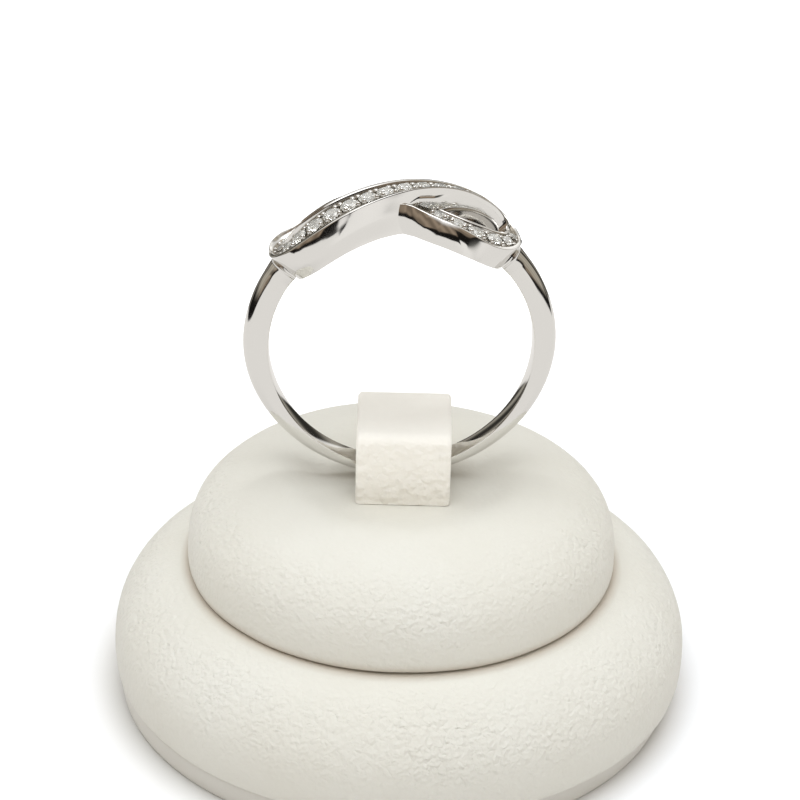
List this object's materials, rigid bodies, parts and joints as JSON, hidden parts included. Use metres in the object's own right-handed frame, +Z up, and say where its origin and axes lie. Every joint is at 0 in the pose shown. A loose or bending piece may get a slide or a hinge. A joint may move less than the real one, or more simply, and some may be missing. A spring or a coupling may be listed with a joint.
{
  "type": "infinity ring on a display stand",
  "caption": "White metal ring whose head is an infinity loop of two crossing stone-set ribbons, held upright by a strap clip on a round two-tier leatherette display stand",
  "frame": {"origin": "centre of the base plate's underside, on the floor", "axes": "+Z up, -Y towards the viewer, +X to the viewer's right; the finger hole runs along Y"},
  "size_m": [0.0394, 0.0394, 0.0362],
  "materials": {
    "white_metal": "mirror polished, rhodium bright",
    "stone": "faceted, colourless",
    "leatherette": "cream pebble grain, satin",
    "base_wrap": "cream, smooth, satin"
  },
  "bodies": {
    "root": {"ring": "white_metal", "clip": "leatherette", "upper_pad": "leatherette", "lower_pad": "leatherette", "base_plate": "base_wrap", "stone_01": "stone", "stone_02": "stone", "stone_03": "stone", "stone_04": "stone", "stone_05": "stone", "stone_06": "stone", "stone_07": "stone", "stone_08": "stone", "stone_09": "stone", "stone_10": "stone", "stone_11": "stone", "stone_12": "stone", "stone_13": "stone", "stone_14": "stone", "stone_15": "stone", "stone_16": "stone", "stone_17": "stone", "stone_18": "stone", "stone_19": "stone", "stone_20": "stone", "stone_21": "stone", "stone_22": "stone", "stone_23": "stone", "stone_24": "stone", "stone_25": "stone", "stone_26": "stone"}
  },
  "joints": []
}
